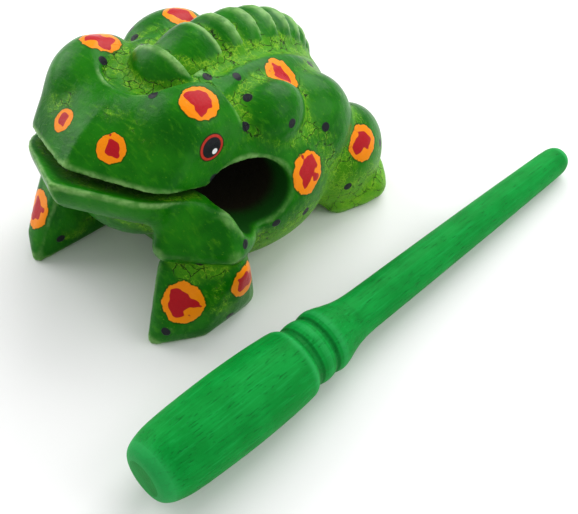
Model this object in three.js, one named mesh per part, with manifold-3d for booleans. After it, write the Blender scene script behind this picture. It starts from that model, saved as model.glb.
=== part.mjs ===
// A guiro carved as a sitting frog, with its turned wooden stick lying beside it.
// Millimetres, +Z up. The frog looks along -Y and its left side is +X.
import * as THREE from 'three';
import { ConvexGeometry } from 'three/addons/geometries/ConvexGeometry.js';
import { mergeVertices } from 'three/addons/utils/BufferGeometryUtils.js';
import Module from 'manifold-3d';

const wasm = await Module();
wasm.setup();
const degrees = THREE.MathUtils.degToRad;

// ---- driving dimensions ----------------------------------------------------------------------
// Frog: x = 0 is its middle plane and z = 0 the floor. A point on it is [x, y, z], and a ball of
// a limb is [x, y, z, radius], given for the left side and mirrored for the right.

const TORSO = { centre: [0, -4, 29], radii: [35, 24, 36.5], back: 57 };
const FLANK = { centre: [20, 11, 29], radii: [19.5, 25, 23] };
const SHOULDER_LUMP = { centre: [25, 7.5, 49.5], radii: [9.5, 12, 9.5] };
const THIGH = { centre: [23, 27, 32], radii: [14, 16, 18] };
const KNEE = { centre: [28, 38, 16], radii: [13, 17.5, 18] };

const SNOUT = { y: -49, z: 52 };
const LIP_OVERBITE = 3.6;           // how far the lower lip stands out past the upper
const CHEEK_HALF_WIDTH = 31;
const SNOUT_RECESSION = degrees(27);
const BROW = { centre: [19, -19, 57.6], radii: [9.2, 12, 8.5] };

const SLIT_GAP = 2.6;
const SLIT_TILT = degrees(20.5);    // the mouth rises toward the snout
const BORE = { radius: 10, y: -9.5, z: 35.6 };

// The crests stand on a quarter ellipse from the neck to the rump, at these angles from upright.
const CREST_ARC = { y: -10, z: 33, length: 65, height: 36.6 };
const TOOTH_COUNT = 9;
const FIRST_CREST = degrees(1.5);
const FIRST_FACE = degrees(5);      // the steep front of the first tooth
const FIRST_GAP = degrees(14.1);
const TOOTH_GAP = degrees(8.4);
const TOOTH_DROP = 3.2;             // how far each crest stands over the foot of the next face
const FIRST_DROP = 7.5;
const TOOTH_ROOT = 1.06;            // each face starts a little inside the tooth before it
const RIDGE_HALF_WIDTH = { front: 12.4, back: 9.2 };
const RIDGE_ARCH = 6.5;             // the crests bow up this much at the middle
const RIDGE_SKIRT = 13;             // how deep the teeth are rooted in the back

// Stick: lengths are along its own axis from the butt.
const STICK_LENGTH = 183.5;
const BARREL = { length: 52, butt: 7.4, heel: 10.2, radius: 11.4, neck: 10.6 };
const GROOVE = { radius: 9, width: 2.4 };
const BEADS = { count: 2, radius: 9.6, width: 4 };
const ROD = { root: 6.6, tip: 5.1, flare: 10 };
const STICK_BUTT = [63.5, -86.2];
const STICK_HEADING = degrees(5.6); // turned from +Y toward +X

const ROUND_STEPS = 28;

// ---- working with solids ---------------------------------------------------------------------

// A closed geometry as a solid that can be joined and cut.
function solid(geometry) {
  const bare = geometry.clone();
  bare.deleteAttribute('normal');
  bare.deleteAttribute('uv');
  const merged = mergeVertices(bare, 1e-4);
  const corners = merged.index.array;
  const kept = [];
  for (let i = 0; i < corners.length; i += 3) {
    const [a, b, c] = [corners[i], corners[i + 1], corners[i + 2]];
    if (a !== b && b !== c && c !== a) kept.push(a, b, c);
  }
  const vertProperties = new Float32Array(merged.attributes.position.array);
  const triVerts = new Uint32Array(kept);
  return new wasm.Manifold(new wasm.Mesh({ numProp: 3, vertProperties, triVerts }));
}

function geometryOf(body) {
  const { vertProperties, triVerts } = body.getMesh();
  const geometry = new THREE.BufferGeometry();
  geometry.setAttribute('position', new THREE.BufferAttribute(vertProperties, 3));
  geometry.setIndex(new THREE.BufferAttribute(triVerts, 1));
  geometry.computeVertexNormals();
  return geometry;
}

const joined = (bodies) => bodies.reduce((sum, body) => sum.add(body));

// Pinholes shut in where rounded lumps cross are filled, and loose crumbs are dropped.
const largest = (body) => body.decompose().sort((a, b) => b.volume() - a.volume())[0];

// The same shape on both sides of the middle plane.
const bothSides = (make) => joined([make(1), make(-1)]);

// An ellipsoid; back is its half-length behind the centre, where that differs from the front's.
function lump({ centre, radii, back = radii[1] }, side = 1) {
  const geometry = new THREE.SphereGeometry(1, ROUND_STEPS, ROUND_STEPS / 2);
  const spot = geometry.attributes.position;
  for (let i = 0; i < spot.count; i += 1) {
    if (spot.getY(i) > 0) spot.setY(i, (spot.getY(i) * back) / radii[1]);
  }
  geometry.scale(...radii);
  geometry.translate(side * centre[0], centre[1], centre[2]);
  return solid(geometry);
}

// The skin stretched over a set of balls [x, y, z, radius].
function stretched(balls, side = 1) {
  const points = balls.flatMap(([x, y, z, radius]) => {
    const spot = new THREE.IcosahedronGeometry(radius, 1).attributes.position;
    const centre = new THREE.Vector3(side * x, y, z);
    return Array.from({ length: spot.count }, (_, i) =>
      new THREE.Vector3().fromBufferAttribute(spot, i).add(centre));
  });
  return solid(new ConvexGeometry(points));
}

// A box by its lowest and highest corners.
function block(low, high) {
  const size = high.map((value, i) => value - low[i]);
  const geometry = new THREE.BoxGeometry(...size);
  geometry.translate(...low.map((value, i) => value + size[i] / 2));
  return solid(geometry);
}

// A cylinder whose axis runs straight across the frog.
function crossRod(radius, halfLength, y, z, steps = 40) {
  const geometry = new THREE.CylinderGeometry(radius, radius, 2 * halfLength, steps);
  geometry.rotateZ(Math.PI / 2);
  geometry.translate(0, y, z);
  return solid(geometry);
}

// ---- frog ------------------------------------------------------------------------------------

// Height of the mouth plane at a given y, and the y of the lips at a given x.
const mouthZ = (y) => SNOUT.z - (y - SNOUT.y) * Math.tan(SLIT_TILT);
const lipY = (x) => SNOUT.y + x * Math.tan(SNOUT_RECESSION);

function head() {
  const side = CHEEK_HALF_WIDTH;
  const upper = [];
  for (const flank of [1, -1]) {
    upper.push(
      [0, SNOUT.y + 1.5, SNOUT.z + 1, 1.5],
      [0, SNOUT.y + 9, SNOUT.z + 12, 3],
      [flank * 22, lipY(22) + 2, mouthZ(lipY(22)), 2],
      [flank * (side - 5), -26, 45, 5],
      [flank * 14, -30, 62, 5],
      [flank * (side - 10), -20, 57, 9],
      [flank * (side - 12), -8, 50, 12],
      [flank * (side - 14), -2, 40, 14],
    );
  }
  return stretched(upper);
}

function lowerJaw() {
  const balls = [];
  const lip = 4.2;
  for (const x of [0, 12, 22]) {
    const y = lipY(x) - LIP_OVERBITE + lip;
    for (const flank of [1, -1]) balls.push([flank * x, y, mouthZ(y) - lip - 1, lip]);
  }
  for (const flank of [1, -1]) {
    balls.push([flank * 26, -24, 35, 6]);
    balls.push([flank * 20, -8, 26, 12]);
    balls.push([flank * 12, -30, 31, 5]);
  }
  return stretched(balls);
}

function frontLeg(side) {
  const arm = stretched([
    [23, -24, 34, 7], [31, -20, 33, 7], [23.5, -35.5, 28, 4.2], [37.5, -25, 27.5, 4.5], [33, -19, 26, 7]], side);
  const foot = stretched([
    [23.5, -36, 20.5, 3], [38, -24.5, 19.5, 4.5], [31, -21, 20, 6], [26.5, -47.4, 1, 2.2], [30, -43.5, 6, 3.2],
    [33.8, -36, 2.5, 4], [37, -26, 9, 4.5], [35, -20, 3, 4.5], [24, -24, 2.5, 4]], side);
  return joined([arm, foot]);
}

function hindFoot(side) {
  return stretched([[34, 32, 3.4, 4.5], [38, 44, 4, 5], [32, 51, 3, 4], [22, 46, 4, 5]], side);
}

// One tooth: a scale whose face climbs gently to an arched crest and drops behind it.
function tooth(number) {
  const first = number === 0;
  const crest = FIRST_CREST + (first ? 0 : FIRST_GAP + (number - 1) * TOOTH_GAP);
  const face = [FIRST_FACE, FIRST_GAP, TOOTH_GAP][Math.min(number, 2)];
  const along = number / (TOOTH_COUNT - 1);
  const half = THREE.MathUtils.lerp(RIDGE_HALF_WIDTH.front, RIDGE_HALF_WIDTH.back, along);
  const points = [];
  const foot = crest - face * TOOTH_ROOT;
  for (const [angle, sink] of [[crest, 0], [foot, first ? FIRST_DROP : TOOTH_DROP]]) {
    const up = new THREE.Vector3(0, Math.sin(angle), Math.cos(angle));
    const top = new THREE.Vector3(0, CREST_ARC.y + CREST_ARC.length * Math.sin(angle),
      CREST_ARC.z + CREST_ARC.height * Math.cos(angle)).addScaledVector(up, -sink);
    for (let step = -5; step <= 5; step += 1) {
      const lean = (step / 5) * (Math.PI / 2);
      const fall = RIDGE_ARCH * (1 - Math.cos(lean));
      const across = new THREE.Vector3(half * Math.sin(lean), 0, 0);
      points.push(top.clone().add(across).addScaledVector(up, -fall));
    }
    for (const edge of [half, -half]) {
      const root = new THREE.Vector3(edge * 0.9, 0, 0);
      points.push(top.clone().add(root).addScaledVector(up, -RIDGE_SKIRT));
    }
  }
  return solid(new ConvexGeometry(points));
}

function mouthSlit() {
  const reach = 80;
  const geometry = new THREE.BoxGeometry(reach, reach, SLIT_GAP);
  geometry.translate(0, -reach / 2, 0);
  geometry.rotateX(-SLIT_TILT);
  geometry.translate(0, BORE.y, mouthZ(BORE.y) - SLIT_GAP / 2);
  return solid(geometry);
}

function frogBody() {
  const teeth = Array.from({ length: TOOTH_COUNT }, (_, number) => tooth(number));
  const carved = joined([
    lump(TORSO), head(), lowerJaw(),
    bothSides((side) => lump(FLANK, side)),
    bothSides((side) => lump(SHOULDER_LUMP, side)),
    bothSides((side) => lump(BROW, side)),
    bothSides((side) => lump(THIGH, side)),
    bothSides((side) => lump(KNEE, side)),
    bothSides(frontLeg), bothSides(hindFoot),
    ...teeth,
  ]);
  const reach = 120;
  const floorCut = block([-reach, -reach, -reach], [reach, reach, 0]);
  const bore = crossRod(BORE.radius, reach, BORE.y, BORE.z);
  return largest(carved.subtract(joined([floorCut, bore, mouthSlit()])));
}

// ---- stick -----------------------------------------------------------------------------------

// The outline as [radius, distance from the butt].
function stickOutline() {
  const { length, butt, heel, radius, neck } = BARREL;
  const barrel = [[0, 0], [butt, 0.7], [butt + 1.8, 3], [heel, 7], [heel + 0.8, length * 0.3],
    [radius, length * 0.58], [radius - 0.2, length * 0.8], [neck, length - 1]];
  const beads = [];
  let along = length + GROOVE.width / 2;
  for (let bead = 0; bead < BEADS.count; bead += 1) {
    const start = along + GROOVE.width / 2;
    beads.push([GROOVE.radius, along], [BEADS.radius, start], [BEADS.radius, start + BEADS.width / 2]);
    along = start + BEADS.width / 2 + GROOVE.width / 2;
  }
  const rod = [[GROOVE.radius - 0.6, along], [(GROOVE.radius + ROD.root) / 2 - 0.4, along + ROD.flare / 2],
    [ROD.root, along + ROD.flare], [ROD.tip, STICK_LENGTH - 2.4],
    [ROD.tip - 1.5, STICK_LENGTH - 0.5], [0, STICK_LENGTH]];
  return [...barrel, ...beads, ...rod];
}

// It lies on the floor on its barrel and on the ring at the end of its rod.
function stickMesh() {
  const outline = stickOutline();
  const [tipRadius, tipAlong] = outline.at(-3);
  const slopes = outline.slice(0, -3).map(([radius, along]) => (radius - tipRadius) / (tipAlong - along));
  const dip = Math.atan(Math.max(...slopes));
  const points = outline.map(([radius, along]) => new THREE.Vector2(radius, along));
  const turned = solid(new THREE.LatheGeometry(points, ROUND_STEPS));
  const mesh = new THREE.Mesh(geometryOf(turned), stickPaint);
  mesh.rotation.set(-dip, 0, -STICK_HEADING, 'ZXY');
  mesh.position.set(...STICK_BUTT, tipAlong * Math.sin(dip) + tipRadius * Math.cos(dip));
  mesh.name = 'scraper_stick';
  return mesh;
}

// ---- the assembly ----------------------------------------------------------------------------

const frogPaint = new THREE.MeshStandardMaterial({ color: 0x3f9420, roughness: 0.4 });
const stickPaint = new THREE.MeshStandardMaterial({ color: 0x149a45, roughness: 0.5 });

const frog = new THREE.Mesh(geometryOf(frogBody()), frogPaint);
frog.name = 'frog_body';

// The origin is under the middle of frog and stick together, on the floor.
const guiro = new THREE.Group();
guiro.add(frog, stickMesh());
const extent = new THREE.Box3().setFromObject(guiro, true);
const middle = extent.getCenter(new THREE.Vector3());
guiro.position.set(-middle.x, -middle.y, -extent.min.z);

export default guiro;
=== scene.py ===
import bmesh
import bpy
import numpy as np
from mathutils import Matrix, Vector


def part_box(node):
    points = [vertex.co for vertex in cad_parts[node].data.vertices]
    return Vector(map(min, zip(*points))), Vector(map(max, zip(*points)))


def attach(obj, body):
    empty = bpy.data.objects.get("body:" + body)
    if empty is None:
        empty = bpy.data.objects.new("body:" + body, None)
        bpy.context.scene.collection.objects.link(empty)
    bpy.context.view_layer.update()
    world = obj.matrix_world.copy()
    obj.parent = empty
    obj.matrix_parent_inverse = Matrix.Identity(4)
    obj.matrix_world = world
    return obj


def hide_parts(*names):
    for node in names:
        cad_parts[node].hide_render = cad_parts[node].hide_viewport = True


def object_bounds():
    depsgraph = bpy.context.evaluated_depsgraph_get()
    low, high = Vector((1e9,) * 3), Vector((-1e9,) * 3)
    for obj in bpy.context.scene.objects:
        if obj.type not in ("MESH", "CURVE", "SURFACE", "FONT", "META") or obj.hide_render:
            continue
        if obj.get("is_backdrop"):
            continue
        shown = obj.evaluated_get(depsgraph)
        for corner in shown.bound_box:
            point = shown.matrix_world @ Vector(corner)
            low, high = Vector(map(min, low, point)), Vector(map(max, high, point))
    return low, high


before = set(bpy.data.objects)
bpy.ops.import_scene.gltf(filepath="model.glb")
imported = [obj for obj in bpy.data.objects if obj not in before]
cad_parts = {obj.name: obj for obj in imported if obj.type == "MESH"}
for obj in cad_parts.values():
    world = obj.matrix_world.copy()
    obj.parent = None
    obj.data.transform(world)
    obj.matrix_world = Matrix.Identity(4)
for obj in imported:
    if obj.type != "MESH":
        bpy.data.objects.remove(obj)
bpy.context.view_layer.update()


# ------------------------------------------------------------------------------------------------
# Frog body: one block of light wood, sawn and carved to a squatting frog, with a notched ridge to
# scrape, a bore through the cheeks and a saw cut for the mouth that make its voice. Its shape is a
# distance function in millimetres: nose towards -Y, x = 0 in the middle, feet on z = 0.
# ------------------------------------------------------------------------------------------------
MM = 0.001
NOSE_Y = -52.6                       # the foremost point of the lips
frog_low, frog_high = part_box("frog_body")
FROG_AT = Vector(((frog_low.x + frog_high.x) / 2, frog_low.y - NOSE_Y * MM, frog_low.z))


def soft_min(a, b, blend):
    """The lower of two distances, with a fillet: their mix less blend*h*(1-h), h the share of a."""
    h = np.clip(0.5 + 0.5 * (b - a) / blend, 0, 1)
    return b + (a - b) * h - blend * h * (1 - h)


def soft_max(a, b, blend):
    """The higher of two distances, with its corner rounded."""
    return -soft_min(-a, -b, blend)


def ellipsoid(at, centre, radii, tail=None):
    """k(k-1)/|g|: k is the length scaled by the radii, g its slope. A tail is a longer radius behind."""
    q = [a - c for a, c in zip(at, centre)]
    long = radii[1] if tail is None else np.where(q[1] > 0, tail, radii[1])
    r = (radii[0], long, radii[2])
    k = np.sqrt(sum((q[i] / r[i]) ** 2 for i in range(3)))
    g = np.sqrt(sum((q[i] / r[i] ** 2) ** 2 for i in range(3)))
    return k * (k - 1) / np.maximum(g, 1e-6)


def facet(at, normal, point):
    """The height over a knife-flat face: the offset from a point on it, along its unit normal."""
    n = np.array(normal, float)
    n /= np.linalg.norm(n)
    return sum(n[i] * (at[i] - point[i]) for i in range(3))


def directions(count):
    """Evenly spread unit vectors: equal steps of height, each turned by the golden angle."""
    k = np.arange(count) + 0.5
    z = 1 - 2 * k / count
    turn = np.pi * (1 + 5 ** 0.5) * k
    flat = np.sqrt(1 - z * z)
    return np.stack([flat * np.cos(turn), flat * np.sin(turn), z], 1)


def stretched(at, balls, count=220):
    """The skin stretched over balls: the most that a point lies past their reach, in any direction."""
    balls = np.array(balls, float)
    d = np.full(np.broadcast(*at).shape, -1e9, np.float32)
    for n in directions(count):
        reach = (balls[:, :3] @ n + balls[:, 3]).max()
        np.maximum(d, n[0] * at[0] + n[1] * at[1] + n[2] * at[2] - reach, out=d)
    return d


def within(at, low, high, shape):
    """A shape worked out only in the block of the grid between two corners, and far away elsewhere."""
    keep = [np.nonzero((a.ravel() >= l) & (a.ravel() <= h))[0] for a, l, h in zip(at, low, high)]
    d = np.full(np.broadcast(*at).shape, 50.0, np.float32)
    block = [a.ravel()[k] for a, k in zip(at, keep)]
    d[np.ix_(*keep)] = shape([block[0][:, None, None], block[1][None, :, None], block[2][None, None, :]])
    return d


MOUTH = {"y": -49.0, "z": 52.0, "tilt": np.radians(20.5), "gap": 2.6, "back": -10.0}


def over_mouth(at):
    """The height over the saw cut's upper face, which rises towards the nose."""
    _, y, z = at
    return (z - MOUTH["z"]) * np.cos(MOUTH["tilt"]) + (y - MOUTH["y"]) * np.sin(MOUTH["tilt"])


HEAD_ASKEW = np.radians(4.5)
NECK_HOLLOW = {"x": -4.0, "y": -7.0, "wide": 19.0, "long": 15.5, "back": -10.0}


def turned(at):
    """The grid in the head's own axes, which are turned a little about the nose, mirrored on x = 0."""
    x, y, z = at
    ahead = y - NOSE_Y
    c, s = np.cos(HEAD_ASKEW), np.sin(HEAD_ASKEW)
    return [np.abs(x * c + ahead * s), ahead * c - x * s + NOSE_Y, z]


def head(at):
    """A wedge of flat faces over the mouth: two sides that meet in a V at the snout, a crown that
    dips between the brows, a temple and a cheek, with an egg-shaped brow over each eye. It ends behind
    in a crisp rim, round the hollow that holds the first tooth."""
    own = turned(at)
    x, y, z = own
    side = facet(own, (0.446, -0.680, 0.626), (0, -49.3, 52.6))
    dip = 3.4 * np.exp(-(x / 8.5) ** 2) * np.clip((y + 38) / 14, 0, 1)
    crown = facet(own, (0, -0.356, 0.934), (0, -44, 58.6)) + dip
    wedge = soft_max(side, soft_max(crown, z - 65.6 + 0 * x, 5), 12)
    wedge = soft_max(wedge, facet(own, (0.75, 0.1, 0.66), (30, -16, 58.5)), 7)
    wedge = soft_max(wedge, facet(own, (0.980, -0.20, 0), (31.5, -9, 40)), 4)
    wedge = soft_max(wedge, -over_mouth(at), 1.6)
    across = (at[0] - NECK_HOLLOW["x"]) / NECK_HOLLOW["wide"]
    along = (at[1] - NECK_HOLLOW["y"]) / NECK_HOLLOW["long"]
    around = (np.hypot(across, along) - 1) * NECK_HOLLOW["long"]
    behind = soft_min(around, facet(at, (0.19, -0.98, 0), (0, NECK_HOLLOW["back"], 0)), 4)
    wedge = soft_max(wedge, -behind, 1.6)
    wedge = soft_min(wedge, ellipsoid(own, (18.5, -17.5, 57.2), (9.0, 11.0, 8.0)), 5)
    return soft_min(wedge, ellipsoid(at, (-22.5, -14.0, 57.2), (9.8, 12.0, 8.0)), 4)


def jaw(at):
    """The lower lip: the mouth's own V in plan, 13.5 mm deep, running back into a round throat."""
    own = turned(at)
    x, y, _ = own
    up = over_mouth(at)
    lip = soft_max(facet(own, (0.470, -0.883, 0), (0, -53.2, 0)),
                   facet(own, (0.980, -0.20, 0), (31.0, -9, 40)), 6)
    lip = soft_max(soft_max(lip, up + 1.0, 3.2), -up - 13.5, 9)
    lip = soft_max(lip, y + 2.0 + 0 * x, 4)
    return soft_min(lip, ellipsoid(own, (0, -20, 30), (22, 20, 15)), 5)


def trunk(at):
    """The back and belly, with a lump for each flank, thigh, knee and hind foot, and between the
    brows the floor of a shallow bowl: 0.010 mm higher for each square millimetre from its middle."""
    x, y, z = at
    d = ellipsoid(at, (0, -4, 29), (35, 24, 36.5), tail=57)
    d = soft_min(d, ellipsoid(at, (20, 8.5, 24.5), (19.8, 26, 22.5)), 8)
    d = soft_min(d, ellipsoid(at, (23, 27, 32), (14, 16, 18)), 3.5)
    d = soft_min(d, ellipsoid(at, (28, 38, 16), (13, 17.5, 18)), 2.5)
    toes = [(33, 32, 3.4, 5), (38, 44, 4.5, 5.2), (32, 51, 4, 5), (22, 46, 4, 5)]
    bowl = z - np.minimum(59.6 + 0.010 * (x ** 2 + (y + 7) ** 2), 61.6)
    neck = soft_max(np.hypot(x, y + 6) - 20 + 0 * z, bowl, 3)
    d = soft_min(d, soft_max(neck, 40 - z + 0 * x, 3), 1.5)
    return soft_min(d, within(at, (10, 20, -6), (50, 62, 16), lambda q: stretched(q, toes)), 1.5)


def front_leg(at):
    """A bent arm with a turned-back sleeve, and below it a broad foot that comes to a point."""
    arm = [(23, -24, 35, 7), (31, -20, 34, 7), (23.5, -35.5, 28, 4.2),
           (37.5, -25, 27.5, 4.5), (33, -19, 26, 7)]
    foot = [(23.5, -36, 20.5, 3), (38, -24.5, 19.5, 4.5), (31, -21, 20, 6), (26.5, -47.4, 1, 2.2),
            (30, -43.5, 6, 3.2), (33.8, -36, 2.5, 4), (37, -26, 9, 4.5), (35, -20, 3, 4.5),
            (24, -24, 2.5, 4)]
    limb = within(at, (8, -52, -6), (48, -6, 52), lambda q: stretched(q, arm, 400))
    hand = within(at, (14, -56, -6), (48, -8, 36), lambda q: stretched(q, foot, 400))
    return soft_max(limb, over_mouth(at) + 3.5, 3), hand


CREST = {"y": -10.0, "z": 33.0, "length": 65.0, "height": 36.6}    # quarter of a full-shouldered oval
CREST_FULLNESS = 2.3
TOOTH_DROP = 7.2
TOOTH_TOPS = np.radians([1.5] + [15.6 + 8.4 * k for k in range(8)])


def ridge(at):
    """A half-round bar along the crest arc, notched across its top. From each top the tooth falls
    forwards by drop*u^1.6, u the share of the gap, fading out 72 degrees to each side of the top."""
    x, y, z = at
    v, w = (y - CREST["y"]) / CREST["length"], (z - CREST["z"]) / CREST["height"]
    angle = np.arctan2(v, w)
    n = CREST_FULLNESS
    v, w = np.maximum(np.abs(v), 1e-6), np.maximum(np.abs(w), 1e-6)
    k = (v ** n + w ** n) ** (1 / n)
    slope = np.hypot((v / k) ** (n - 1) / CREST["length"], (w / k) ** (n - 1) / CREST["height"])
    rise = (k - 1) / slope
    bar = 12.4 - 3.2 * np.clip(angle / TOOTH_TOPS[-1], 0, 1)
    lift = np.maximum(rise + bar, 0)
    lean = np.degrees(np.arctan2(x, lift + 1e-6 + 0 * x))
    fade = np.clip(1 - (lean / 72) ** 2, 0, 1) ** 0.5
    round_bar = np.sqrt(x ** 2 + lift ** 2) - bar
    gaps = np.diff(TOOTH_TOPS, prepend=TOOTH_TOPS[0] - np.radians(14))
    d = ellipsoid(at, (0.8, -5.0, 57.0), (14.6, 11.0, 12.8))
    behind = None
    for top, gap in zip(TOOTH_TOPS, gaps):
        reach = (np.sin(top) ** n + np.cos(top) ** n) ** (-1 / n)
        tangent = np.array([CREST["length"] * np.cos(top), -CREST["height"] * np.sin(top)])
        tangent /= np.linalg.norm(tangent)
        past = (tangent[0] * (y - CREST["y"] - CREST["length"] * reach * np.sin(top))
                + tangent[1] * (z - CREST["z"] - CREST["height"] * reach * np.cos(top))) + 0 * x
        if behind is None:
            d = soft_max(d, past - 0.8, 0.8)
        else:
            u = np.clip((top - angle) / gap, 0, 1.3)
            tooth = soft_max(round_bar + TOOTH_DROP * u ** 1.6 * fade, past - 0.5, 0.6)
            d = np.minimum(d, np.maximum(tooth, -behind - 2.0))
        behind = past
    notched = np.maximum(np.maximum(-7 - y, lean - 70), behind + 1.0)
    return d, soft_max(round_bar, notched, 1)


SHOULDERS = [((25.0, 7.5, 49.5), (9.5, 12.0, 9.5)), ((-22.5, 13.0, 50.8), (10.8, 16.0, 9.5))]


def ridge_foot(at):
    """0 to 1 in the two shallow valleys along the ridge: exp(-((off - 12.2)/3)^2), faded out ahead of
    the ridge and low on the rump."""
    x, y, z = at
    valley = np.exp(-((np.abs(x + 1.2) - 12.2) / 3.0) ** 2)
    return valley * np.clip((y + 4) / 6, 0, 1) * np.clip((z - 38) / 10, 0, 1)


def solid_frog(at):
    """The carving before its hollows: every lump joined, mirrored but for the head and the ridge."""
    x, y, z = at
    mirrored = [np.abs(x), y, z]
    d = trunk(mirrored)
    for middle, radii in SHOULDERS:
        d = soft_min(d, ellipsoid(at, middle, radii), 3)
    d = soft_min(d, head(at), 1.2) + 1.9 * ridge_foot(at)
    d = soft_min(d, jaw(at), 2.5)
    limb, hand = front_leg(mirrored)
    d = soft_min(soft_min(d, limb, 5), hand, 1.2)
    shifted = [x + 1.2, y, z]
    bar = within(shifted, (-16, -17, 30), (16, 60, 74), lambda q: ridge(q)[1])
    teeth = within(shifted, (-16, -17, 30), (16, 60, 74), lambda q: ridge(q)[0])
    return soft_min(np.maximum(d, -bar), teeth, 0.8)


BORE = {"y": -9.5, "z": 35.4, "radius": 9.8, "width": 1.18}


def hollows(at):
    """Space to cut away: the round bore through both cheeks and the saw cut that reaches it."""
    x, y, z = at
    bore = np.hypot((y - BORE["y"]) / BORE["width"], z - BORE["z"]) - BORE["radius"] + 0 * x
    half_gap = MOUTH["gap"] / 2
    cut = np.maximum(np.abs(over_mouth(at) + half_gap) - half_gap, y - MOUTH["back"]) + 0 * x
    return cut, bore


def net(field, corner, step):
    """One point in each cell that the surface crosses, the mean of its edge crossings, and a four-sided
    face round each crossed edge, wound to face outwards."""
    inside = field < 0
    total = np.zeros(tuple(n - 1 for n in field.shape) + (3,), np.float32)
    count = np.zeros(total.shape[:3], np.float32)
    edges = []
    for axis in range(3):
        near = tuple(slice(0, -1) if a == axis else slice(None) for a in range(3))
        far = tuple(slice(1, None) if a == axis else slice(None) for a in range(3))
        where = np.nonzero(inside[near] != inside[far])
        a, b = field[near][where], field[far][where]
        point = np.stack(where, 1).astype(np.float32)
        point[:, axis] += a / (a - b)
        across = [(axis + 1) % 3, (axis + 2) % 3]
        corners = []
        for back in ((0, 0), (1, 0), (1, 1), (0, 1)):
            cell = list(where)
            for o, shift in zip(across, back):
                cell[o] = cell[o] - shift
            np.add.at(total, tuple(cell), point)
            np.add.at(count, tuple(cell), 1)
            corners.append(tuple(cell))
        edges.append((corners, a >= 0))
    used = count > 0
    name = np.full(count.shape, -1, np.int64)
    name[used] = np.arange(used.sum())
    points = total[used] / count[used][:, None] * step + corner
    faces = []
    for corners, turned in edges:
        quad = np.stack([name[c] for c in corners], 1)
        quad[turned] = quad[turned][:, ::-1]
        faces.append(quad)
    return points, np.concatenate(faces)


def sample(field, corner, step, points):
    """The field's value at free points, mixed linearly from the eight grid corners around each."""
    g = (points - corner) / step
    base = np.clip(np.floor(g).astype(int), 0, np.array(field.shape) - 2)
    t = g - base
    value = np.zeros(len(points))
    for i in (0, 1):
        for j in (0, 1):
            for k in (0, 1):
                share = (np.abs(1 - i - t[:, 0]) * np.abs(1 - j - t[:, 1]) * np.abs(1 - k - t[:, 2]))
                value += share * field[base[:, 0] + i, base[:, 1] + j, base[:, 2] + k]
    return value


def blurred(field, reach):
    """The mean over a cube of 2*reach+1 cells, taken one axis at a time from running sums."""
    for axis in range(3):
        padded = np.pad(field, [(reach + 1, reach) if a == axis else (0, 0) for a in range(3)], "edge")
        run = np.cumsum(padded, axis, dtype=np.float64)
        size = 2 * reach + 1
        ahead = np.take(run, np.arange(size, run.shape[axis]), axis)
        behind = np.take(run, np.arange(0, run.shape[axis] - size), axis)
        field = (ahead - behind) / size
    return field


def mesh_object(name, points, faces):
    """A smooth-shaded mesh object at the origin, from points in metres."""
    mesh = bpy.data.meshes.new(name)
    mesh.from_pydata(points.tolist(), [], faces.tolist())
    mesh.shade_smooth()
    mesh.update()
    piece = bpy.data.objects.new(name, mesh)
    bpy.context.scene.collection.objects.link(piece)
    return piece


def add_attribute(piece, name, values):
    """Stores one number or vector for each point of a piece."""
    kind, field = ("FLOAT_VECTOR", "vector") if values.ndim == 2 else ("FLOAT", "value")
    made = piece.data.attributes.new(name, kind, "POINT")
    made.data.foreach_set(field, values.astype(np.float32).ravel())


STEP = 0.8
SIDE_CELLS, Y_RANGE, Z_RANGE = 58, (-55.0, 61.0), (-3.0, 75.0)
grid_x = np.arange(-SIDE_CELLS, SIDE_CELLS + 1) * STEP
grid_y = np.arange(Y_RANGE[0], Y_RANGE[1], STEP)
grid_z = np.arange(Z_RANGE[0], Z_RANGE[1], STEP)
grid = [grid_x[:, None, None], grid_y[None, :, None], grid_z[None, None, :]]
skin = solid_frog(grid)
saw_cut, bore = hollows(grid)
carved = soft_max(soft_max(skin, -saw_cut, 0.9), -bore, 1.8)
carved = np.maximum(carved, -grid[2])
corner = np.array([-SIDE_CELLS * STEP, Y_RANGE[0], Z_RANGE[0]])
points, faces = net(carved, corner, STEP)
depth = -sample(skin, corner, STEP, points)
edge = sample(blurred(carved, 2), corner, STEP, points)
lumps = sample(blurred(carved, 6), corner, STEP, points)

frog = mesh_object("carved_frog", points * MM + np.array(FROG_AT), faces)
add_attribute(frog, "depth", depth)
add_attribute(frog, "edge", edge)
add_attribute(frog, "lumps", lumps)
add_attribute(frog, "valley", ridge_foot(points.T))


class Wire:
    """A socket's value; + - * on it, and the named steps, each add a Math or Map Range node."""

    def __init__(self, finish, socket):
        self.finish, self.socket = finish, socket

    def math(self, operation, *others):
        inputs = dict(enumerate((self, *others)))
        return self.finish.node("Math", {"operation": operation}, inputs)

    def __add__(self, other):
        return self.math("ADD", other)

    def __sub__(self, other):
        return self.math("SUBTRACT", other)

    def __rsub__(self, other):
        return self.finish.node("Math", {"operation": "SUBTRACT"}, {0: other, 1: self})

    def __mul__(self, other):
        return self.math("MULTIPLY", other)

    __radd__, __rmul__ = __add__, __mul__

    def step(self, low, high):
        """0 below low, 1 above high, and a smooth rise between."""
        inputs = {"Value": self, "From Min": low, "From Max": high}
        return self.finish.node("MapRange", {"interpolation_type": "SMOOTHSTEP"}, inputs)

    def larger(self, other):
        return self.math("MAXIMUM", other)

    def below(self, edge, softness):
        """1 where the value is under an edge, 0 where it is over it."""
        return 1 - self.step(edge - softness, edge + softness)


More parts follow.
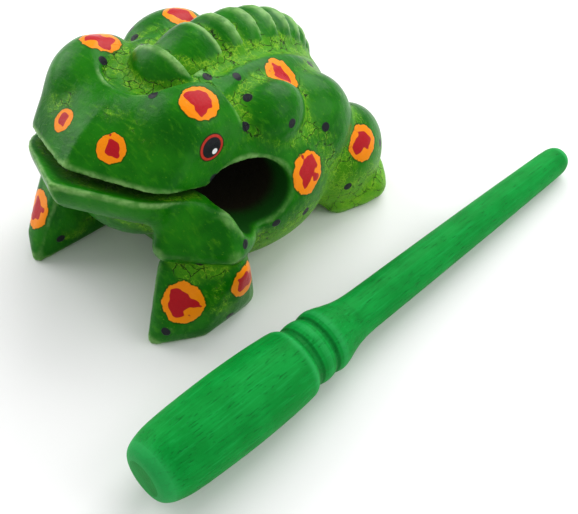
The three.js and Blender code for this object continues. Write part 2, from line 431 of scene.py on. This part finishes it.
class Finish:
    """A node material under way."""

    def __init__(self, name):
        self.material = bpy.data.materials.new(name)
        self.material.use_nodes = True
        self.material.node_tree.nodes.clear()

    def node(self, kind, settings, inputs, output=0):
        """Adds a node: first its settings or ramp stops, then each socket's value or link."""
        made = self.material.node_tree.nodes.new("ShaderNode" + kind)
        for name, value in settings.items():
            setattr(made, name, value)
        for name, value in inputs.items():
            if isinstance(value, Wire):
                self.material.node_tree.links.new(value.socket, made.inputs[name])
            else:
                made.inputs[name].default_value = value
        return Wire(self, made.outputs[output])

    def place(self, scale):
        """Object coordinates, turned from metres into the pattern's own unit."""
        return self.stretch(self.node("TexCoord", {}, {}, "Object"), scale)

    def noise(self, where, scale, detail=3.0, rough=0.55):
        inputs = {"Vector": where, "Scale": scale, "Detail": detail, "Roughness": rough}
        return self.node("TexNoise", {}, inputs)

    def attribute(self, name, output="Fac"):
        return self.node("Attribute", {"attribute_name": name}, {}, output)

    def mix(self, share, first, second):
        """The first colour, with a share of the second over it."""
        return self.node("Mix", {"data_type": "RGBA"}, {0: share, 6: first, 7: second}, 2)

    def bump(self, height, distance, strength=1.0):
        return self.node("Bump", {}, {"Height": height, "Distance": distance, "Strength": strength})

    def added(self, first, second):
        """The sum of two vectors."""
        return self.node("VectorMath", {"operation": "ADD"}, {0: first, 1: second})

    def stretch(self, vector, factors):
        """A vector with each of its three parts made longer or shorter."""
        return self.node("VectorMath", {"operation": "MULTIPLY"}, {0: vector, 1: factors})

    def scaled(self, vector, factor):
        """A vector's middle taken off, and the rest made longer."""
        centred = self.node("VectorMath", {"operation": "SUBTRACT"}, {0: vector, 1: (0.5, 0.5, 0.5)})
        return self.node("VectorMath", {"operation": "SCALE"}, {0: centred, "Scale": factor})

    def length(self, vector):
        return self.node("VectorMath", {"operation": "LENGTH"}, {0: vector}, "Value")

    def put_on(self, piece, shader):
        """Ends the material with a shader and gives it to a piece."""
        out = self.material.node_tree.nodes.new("ShaderNodeOutputMaterial")
        self.material.node_tree.links.new(shader.socket, out.inputs["Surface"])
        piece.data.materials.clear()
        piece.data.materials.append(self.material)


SPOTS = {                            # the left side's spot, then the right's: middle and radius
    "snout": [(8, -36.5, 56, 4.3), (-11, -37, 57, 3.7)],
    "brow": [(20.5, -14.5, 65, 5.7), (-21.5, -12.5, 64.5, 6.3)],
    "shoulder": [(21, 19, 55, 6.4), (-20.5, 19, 58, 5.9)],
    "flank": [(39, 9.5, 33.5, 6.8), (-38.5, 10.5, 32, 6.2)],
    "thigh": [(38.5, 37.5, 26.5, 6.1), (-38, 36.5, 27.5, 5.8)],
    "foot_front": [(32.5, -40.5, 14.5, 6.6), (-30.5, -41.5, 14.5, 6.6)],
    "foot_side": [(42, -23.5, 16.5, 5.8), (-41.5, -24.5, 17.5, 5.4)],
    "rump": [(14.5, 51, 31, 5.5), (-15, 50, 30, 5.2)]}
DOTS = [                             # the left side's, then the right's
    (8.5, -20, 64.5), (12.5, -3.5, 63), (17.5, 4, 62), (23, 1.5, 58), (26.5, -5, 53.5),
    (34.5, 7, 51), (35.5, 22, 41), (26.5, -18, 43), (36.5, -4.5, 23), (37.5, 7, 20.5),
    (41, -22, 29.5), (33, -33, 25), (31, -46.5, 6), (39, -29, 4.5), (39, 29, 14),
    (38.5, 47, 20.5), (17, 36.5, 47.5),
    (-29.5, 5.5, 57.5), (-13, -17, 65), (-22, -41, 6), (-13, -2, 63), (-23.5, 2.5, 57.5),
    (-35, 21, 42), (-37, -3, 24), (-38, 8, 19.5), (-40.5, -21, 29), (-33, -33, 24.5),
    (-39, 30, 14.5), (-38, 47, 20), (-17, 36, 48)]
DOT_RADIUS = 1.45
EYE = (29.2, -20.0, 54.2)            # in the head's own axes
EYE_RADII = {"ring": 3.9, "ball": 3.15, "glint": 0.9}
EYE_GLINT = (29.5, -19.3, 52.7)


def add_marks(piece, name, points, middles, radii):
    """Each point's offset from the mark nearest to it, in that mark's radii, and how long it is. The
    length is kept too, because halfway between two marks their offsets cancel out."""
    middles = points[[np.argmin(np.linalg.norm(points - middle, axis=1)) for middle in middles]]
    offsets = (points[:, None, :] - middles) / radii[:, None]
    lengths = np.linalg.norm(offsets, axis=2)
    nearest = np.argmin(lengths, axis=1)
    rows = np.arange(len(points))
    add_attribute(piece, name, offsets[rows, nearest])
    add_attribute(piece, name + "_reach", lengths[rows, nearest])


spots = np.array([spot for pair in SPOTS.values() for spot in pair], float)
dots = np.array(DOTS, float)
add_marks(frog, "spot", points, spots[:, :3], spots[:, 3])
add_marks(frog, "dot", points, dots, np.full(len(dots), DOT_RADIUS))
in_head = np.stack(turned(points.T), 1)
in_head[:, 0] *= np.where(points[:, 0] < 0, -1, 1)
both_sides = np.array([(1, 1, 1), (-1, 1, 1)])
add_marks(frog, "eye", in_head, np.array(EYE) * both_sides, np.ones(2))
add_marks(frog, "glint", in_head, np.array(EYE_GLINT) * both_sides, np.ones(2))

paint = Finish("painted_carved_wood")
here = paint.place((1 / MM, 1 / MM, 1 / MM))
height = paint.node("SeparateXYZ", {}, {0: here}, "Z")
broad = paint.noise(here, 0.085, 3)
brushed = paint.noise(paint.place((300, 900, 420)), 1.0, 4)
fine = paint.noise(here, 1.4, 3)
wobble = paint.node("TexNoise", {}, {"Vector": here, "Scale": 0.5, "Detail": 3.0}, "Color")


def network(finish, where, scale, width):
    """Thin lines between the cells of a random tiling."""
    cells = finish.node("TexVoronoi", {"feature": "DISTANCE_TO_EDGE"}, {"Vector": where, "Scale": scale})
    return cells.below(width, width * 0.6)


tangled = paint.added(here, paint.scaled(wobble, 1.1))
veins = network(paint, tangled, 0.70, 0.055)
fine_veins = network(paint, tangled, 1.5, 0.08)
cracks = network(paint, paint.added(here, paint.scaled(wobble, 2.2)), 0.26, 0.022)

swell = paint.attribute("lumps") - paint.attribute("valley") * 1.1
sunk = (swell + (broad - 0.5) * 2.2).below(-0.05, 0.75)
behind_arms = paint.node("SeparateXYZ", {}, {0: here}, "Y").step(-30, -10)
low = height.below(19, 14) * (behind_arms * 0.75 + 0.12) + (brushed - 0.5) * 0.7
thin_paint = (sunk * 0.85 + low).step(0.15, 0.95)
patchy = paint.noise(here, 0.3, 3).step(0.38, 0.62)
vein_mask = (veins * 0.8 + fine_veins * 0.5) * (thin_paint * 0.85 + 0.10) * (patchy * 0.7 + 0.3)
crackled = (thin_paint * 0.8 + sunk * 0.6).step(0.3, 0.8)
crack_mask = cracks * crackled * paint.noise(here, 0.16, 2).step(0.40, 0.55)

green = paint.mix(broad.step(0.35, 0.7), (0.003, 0.110, 0.0008, 1), (0.012, 0.180, 0.002, 1))
green = paint.mix(brushed.step(0.5, 0.75) * 0.5, green, (0.040, 0.25, 0.004, 1))
green = paint.mix(thin_paint * 0.75, green, (0.075, 0.31, 0.004, 1))
green = paint.mix(height.below(13, 10) * behind_arms * 0.6, green, (0.13, 0.39, 0.015, 1))
green = paint.mix(vein_mask.step(0.1, 0.7), green, (0.19, 0.43, 0.015, 1))
green = paint.mix(fine.step(0.66, 0.74) * 0.5, green, (0.12, 0.36, 0.01, 1))
# Pale green on sharp crests and rims: partly real wear of the paint, partly a painted highlight along
# the edges.
worn_and_highlit = paint.attribute("edge").step(0.15, 0.40) * (0.30 + patchy * 0.45)
green = paint.mix(worn_and_highlit, green, (0.26, 0.50, 0.15, 1))
green = paint.mix(crack_mask * 0.9, green, (0.004, 0.012, 0.002, 1))

ragged = (paint.noise(here, 0.42, 2) - 0.5) * 0.34


def from_mark(finish, name):
    """The distance from a painted mark's middle in its own radii, sharp near it and safe far away."""
    reach = finish.attribute(name + "_reach") * 0.85
    return finish.length(finish.attribute(name, "Vector")).larger(reach)


from_spot = from_mark(paint, "spot")
spot_out = from_spot + ragged
spot_mask = spot_out.below(0.96, 0.02)
blob_noise = (paint.noise(paint.added(here, (40.0, 7.0, 3.0)), 0.30, 0.6) - 0.5) * 1.1
heart = (from_spot + blob_noise).below(0.58, 0.02)
spot_rim = spot_out.below(1.03, 0.03) - spot_mask
green = paint.mix(spot_rim * 0.6, green, (0.006, 0.03, 0.001, 1))
mark = paint.mix(brushed * 0.35, (0.93, 0.27, 0.004, 1), (0.85, 0.20, 0.003, 1))
crimson = paint.mix(fine, (0.50, 0.010, 0.018, 1), (0.38, 0.007, 0.012, 1))
mark = paint.mix(heart, mark, crimson)
green = paint.mix(spot_mask, green, mark)
dot_mask = (from_mark(paint, "dot") + ragged * 0.6).below(1.0, 0.06)
green = paint.mix(dot_mask, green, (0.012, 0.014, 0.018, 1))

from_eye = from_mark(paint, "eye")
ring = from_eye.below(EYE_RADII["ring"], 0.12)
ball = from_eye.below(EYE_RADII["ball"], 0.12)
glint = from_mark(paint, "glint").below(EYE_RADII["glint"], 0.12)
green = paint.mix(from_eye.below(EYE_RADII["ring"] + 0.35, 0.15), green, (0.01, 0.02, 0.003, 1))
green = paint.mix(ring, green, (0.48, 0.03, 0.015, 1))
green = paint.mix(ball, green, (0.008, 0.009, 0.012, 1))
green = paint.mix(glint, green, (0.9, 0.9, 0.9, 1))

# Inside the bore and the saw cut: rougher bare wood, with painted shade that darkens the colour with
# depth, near black deepest in.
depth_in = paint.attribute("depth")
bare_and_shaded = depth_in.step(0.5, 2.2)
deep_shade = depth_in.step(4.0, 9.0)
colour = paint.mix(bare_and_shaded, green, (0.004, 0.055, 0.003, 1))
colour = paint.mix(deep_shade, colour, (0.010, 0.008, 0.003, 1))

marks = 1 - (1 - spot_mask) * (1 - dot_mask) * (1 - ring)
grain = fine * 0.25 + brushed * 0.6 + paint.noise(here, 0.45, 2) * 0.9
relief = grain + marks * 0.45 - crack_mask * 1.6 + vein_mask * 0.35
normal = paint.bump(relief, 0.16 * MM, 0.9)
rough = 0.24 + fine * 0.10 + thin_paint * 0.14 + bare_and_shaded * 0.3
shader = paint.node("BsdfPrincipled", {}, {"Base Color": colour, "Roughness": rough, "Normal": normal,
                                           "Specular IOR Level": 0.10})
paint.put_on(frog, shader)
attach(frog, "frog")
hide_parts("frog_body")


# ------------------------------------------------------------------------------------------------
# Scraper stick: one piece of beech turned on a lathe, a fat handle, two beads between grooves and a
# long rod that tapers to a rounded tip, dipped in green stain. It lies loose beside the frog.
# ------------------------------------------------------------------------------------------------
STICK_PROFILE = [                    # distance from the butt and radius, in millimetres
    (0.0, 0.0), (0.05, 3.0), (0.25, 6.0), (1.0, 7.7), (2.6, 8.9), (5.0, 9.75), (8.5, 10.45),
    (15, 10.95), (25, 11.32), (33, 11.4), (42, 11.2), (49.5, 10.75), (51.6, 10.35), (53.1, 9.35),
    (54.3, 9.0), (55.3, 9.3), (57.3, 9.55), (59.3, 9.3), (60.4, 8.85), (61.4, 9.3), (63.6, 9.6),
    (66.2, 9.05), (69.4, 8.05), (73.5, 7.1), (79, 6.6), (90, 6.45), (110, 6.22), (140, 5.82),
    (165, 5.35), (177, 5.1), (180.8, 4.7), (182.6, 3.8), (183.4, 2.2), (183.5, 0.0)]
STICK_STEPS, STICK_SIDES = 620, 120
FLATS_DEPTH = 0.0035                 # a share of the radius
MERGE_WITHIN = 0.002
BULGE_REACH, END_REACH = 2.2, 2.5    # how far along the stick a bulge and an end are felt


def smooth_profile(knots, count):
    """A Catmull-Rom curve: each span blends its two ends with slopes set by their neighbours."""
    knots = np.array(knots, float)
    ends = np.concatenate([[2 * knots[0] - knots[1]], knots, [2 * knots[-1] - knots[-2]]])
    place = np.linspace(0, len(knots) - 1, count)
    span = np.minimum(place.astype(int), len(knots) - 2)
    t = (place - span)[:, None]
    a, b, c, d = (ends[span + i] for i in range(4))
    square, cube = 2 * a - 5 * b + 4 * c - d, 3 * b - a - 3 * c + d
    return 0.5 * (2 * b + (c - a) * t + square * t ** 2 + cube * t ** 3)


def crosswise(axis):
    """Two unit vectors square to an axis and to each other, the first of them level."""
    across = np.cross(axis, (0, 0, 1))
    across /= np.linalg.norm(across)
    return across, np.cross(across, axis)


def turned_surface(knots, butt, axis):
    """The profile carried round an axis: butt + axis*along + radius*(cos, sin) across it, with shallow
    flats left by the gouge and the sandpaper."""
    curve = smooth_profile(knots, STICK_STEPS)
    along, radius = curve[:, :1], np.maximum(curve[:, 1:], 0)
    turn = np.arange(STICK_SIDES) / STICK_SIDES * 2 * np.pi
    flats = np.sin(3 * turn + along * 0.031) + np.sin(5 * turn - along * 0.053 + 1.3)
    radius = radius * (1 + FLATS_DEPTH * flats)
    across, over = crosswise(axis)
    ring = np.cos(turn)[None, :, None] * across + np.sin(turn)[None, :, None] * over
    return butt + axis * along[:, :, None] * MM + ring * radius[:, :, None] * MM


def grid_faces(rows, columns):
    """Four-sided faces between neighbouring points of a grid that closes on itself across."""
    row, column = np.meshgrid(np.arange(rows - 1), np.arange(columns), indexing="ij")
    ahead = (column + 1) % columns
    corners = [row * columns + column, row * columns + ahead,
               (row + 1) * columns + ahead, (row + 1) * columns + column]
    return np.stack([c.ravel() for c in corners], 1)


def mesh_points(mesh):
    """A mesh's points as rows of x, y and z."""
    flat = np.zeros(len(mesh.vertices) * 3)
    mesh.vertices.foreach_get("co", flat)
    return flat.reshape(-1, 3)


rough_points = mesh_points(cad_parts["scraper_stick"].data)
middle = rough_points.mean(0)
axis = np.linalg.svd(rough_points - middle, full_matrices=False)[2][0]
axis *= np.sign(axis[1])
butt = middle + axis * ((rough_points - middle) @ axis).min()
surface = turned_surface(STICK_PROFILE, butt, axis)
stick = mesh_object("turned_stick", surface.reshape(-1, 3), grid_faces(STICK_STEPS, STICK_SIDES))
merged = bmesh.new()
merged.from_mesh(stick.data)
bmesh.ops.remove_doubles(merged, verts=merged.verts, dist=MERGE_WITHIN * MM)
bmesh.ops.recalc_face_normals(merged, faces=merged.faces)
merged.to_mesh(stick.data)
merged.free()
stick.data.shade_smooth()
offset = mesh_points(stick.data) - butt
along = offset @ axis / MM
across, over = crosswise(axis)
add_attribute(stick, "turned", np.stack([along, offset @ across / MM, offset @ over / MM], 1))
knots = np.array(STICK_PROFILE)
before, own_radius, after = [np.interp(along + shift, knots[:, 0], knots[:, 1], 0, 0)
                             for shift in (-BULGE_REACH, 0, BULGE_REACH)]
bulge = own_radius - (before + after) / 2
on_end = (along < END_REACH) | (along > STICK_PROFILE[-1][0] - END_REACH)
add_attribute(stick, "bulge", np.where(on_end, np.clip(bulge, 0, 0.6), bulge))

stain = Finish("stained_turned_wood")
round_it = stain.attribute("turned", "Vector")
grain = stain.noise(stain.stretch(round_it, (0.045, 1.0, 1.0)), 1.3, 5, 0.6)
pores = stain.noise(stain.stretch(round_it, (0.16, 1.6, 1.6)), 1.7, 2)
cloud = stain.noise(round_it, 0.11, 3)
lathe = stain.noise(stain.stretch(round_it, (2.2, 0.05, 0.05)), 1.0, 2)
pits = pores.step(0.61, 0.68)
proud = stain.attribute("bulge") + (cloud - 0.5) * 0.25
colour = stain.mix(cloud.step(0.3, 0.7), (0.001, 0.225, 0.027, 1), (0.003, 0.285, 0.039, 1))
colour = stain.mix(grain.step(0.52, 0.72) * 0.45, colour, (0.010, 0.36, 0.07, 1))
colour = stain.mix(grain.below(0.42, 0.08) * 0.4, colour, (0.001, 0.17, 0.022, 1))
colour = stain.mix(pits * 0.55, colour, (0.001, 0.10, 0.014, 1))
colour = stain.mix(proud.below(-0.18, 0.12) * 0.5, colour, (0.001, 0.075, 0.010, 1))
colour = stain.mix(proud.step(0.12, 0.5) * 0.6, colour, (0.030, 0.40, 0.10, 1))
relief = grain * 0.8 + lathe * 0.25 - pits * 0.8 + cloud * 0.8
shader = stain.node("BsdfPrincipled", {}, {"Base Color": colour, "Roughness": 0.38 + grain * 0.22,
                                           "Normal": stain.bump(relief, 0.12 * MM, 0.8),
                                           "Specular IOR Level": 0.05})
stain.put_on(stick, shader)
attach(stick, "stick")
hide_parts("scraper_stick")


# ------------------------------------------------------------------------------------------------
# Table, light and camera: a pale table under soft boxes, seen from the frog's left front.
# ------------------------------------------------------------------------------------------------
def table(size):
    """A flat square of the given half-width at z = 0."""
    corners = np.array([[-1, -1, 0], [1, -1, 0], [1, 1, 0], [-1, 1, 0]]) * size
    return mesh_object("table_top", corners, np.array([[0, 1, 2, 3]]))


floor = table(3.0)
pale = Finish("pale_table")
pale.put_on(floor, pale.node("BsdfPrincipled", {}, {"Base Color": (0.9, 0.9, 0.9, 1), "Roughness": 0.9}))
floor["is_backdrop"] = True


def soft_box(name, position, target, size, power):
    """A square area light aimed at a point."""
    lamp = bpy.data.lights.new(name, "AREA")
    lamp.size, lamp.energy = size, power
    box = bpy.data.objects.new(name, lamp)
    box.location = position
    box.rotation_euler = (Vector(target) - Vector(position)).to_track_quat("-Z", "Y").to_euler()
    bpy.context.scene.collection.objects.link(box)


soft_box("back_box", (-0.15, 0.75, 0.75), (0, 0, 0.03), 0.9, 9)
soft_box("left_box", (-0.85, -0.10, 0.55), (0, 0, 0.03), 0.7, 5)
soft_box("right_box", (0.75, 0.45, 0.6), (0, 0, 0.03), 0.7, 4)
world = bpy.data.worlds.new("studio")
bpy.context.scene.world = world
world.use_nodes = True
world.node_tree.nodes["Background"].inputs["Color"].default_value = (1, 1, 1, 1)
world.node_tree.nodes["Background"].inputs["Strength"].default_value = 0.55
bpy.context.scene.view_settings.view_transform = "Standard"

CAMERA = {"at": (162.4, -147.23, 209.24), "azimuth": 40.10, "elevation": 46.77, "roll": -0.654,
          "lens": 55.68}


def camera_frame(azimuth, elevation, roll):
    """Right, up and back: back points from the object to the eye, and the other two turn about it."""
    a, e, r = np.radians([azimuth, elevation, roll])
    back = np.array([np.sin(a) * np.cos(e), -np.cos(a) * np.cos(e), np.sin(e)])
    level = np.array([np.cos(a), np.sin(a), 0])
    rise = np.cross(back, level)
    right = level * np.cos(r) + rise * np.sin(r)
    return right, np.cross(back, right), back


lens = bpy.data.cameras.new("camera")
lens.lens = CAMERA["lens"]
camera = bpy.data.objects.new("camera", lens)
columns = camera_frame(CAMERA["azimuth"], CAMERA["elevation"], CAMERA["roll"])
turn = Matrix(np.array(columns).T.tolist()).to_4x4()
camera.matrix_world = Matrix.Translation(Vector(CAMERA["at"]) * MM + FROG_AT) @ turn
bpy.context.scene.collection.objects.link(camera)
bpy.context.scene.camera = camera

low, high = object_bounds()
